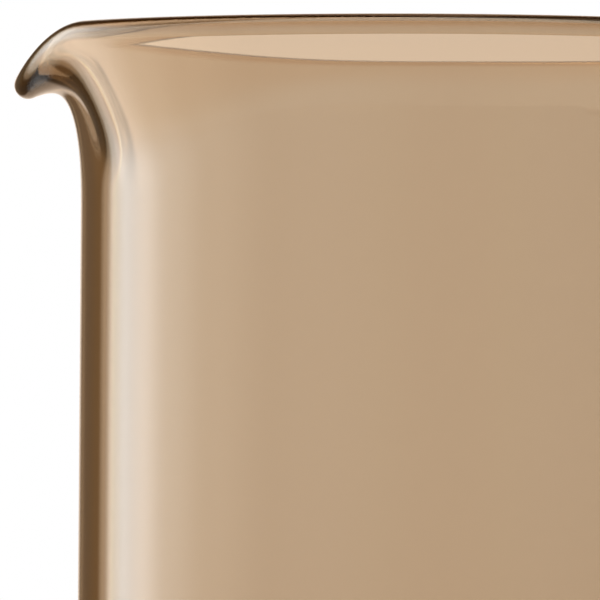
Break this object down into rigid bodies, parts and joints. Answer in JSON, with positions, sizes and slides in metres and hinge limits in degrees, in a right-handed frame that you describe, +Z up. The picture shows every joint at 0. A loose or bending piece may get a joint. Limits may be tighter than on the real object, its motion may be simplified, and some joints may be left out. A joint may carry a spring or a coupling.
{
  "type": "beaker",
  "caption": "Low-form tinted glass beaker: straight round wall, rounded heel, flat foot, flared rim and a broad pouring lip with a drooping nose.",
  "frame": {"origin": "centre of the foot, on the surface that the beaker stands on", "axes": "+Z up along the axis of the wall, -X the way the spout points, X-Z the plane of symmetry"},
  "size_m": [0.0994, 0.0926, 0.125],
  "materials": {
    "bronze_glass": "fire-polished clear glass, bronze tint through the whole thickness"
  },
  "bodies": {
    "root": {"base": "bronze_glass", "heel": "bronze_glass", "wall": "bronze_glass", "rim": "bronze_glass", "spout": "bronze_glass"}
  },
  "joints": []
}
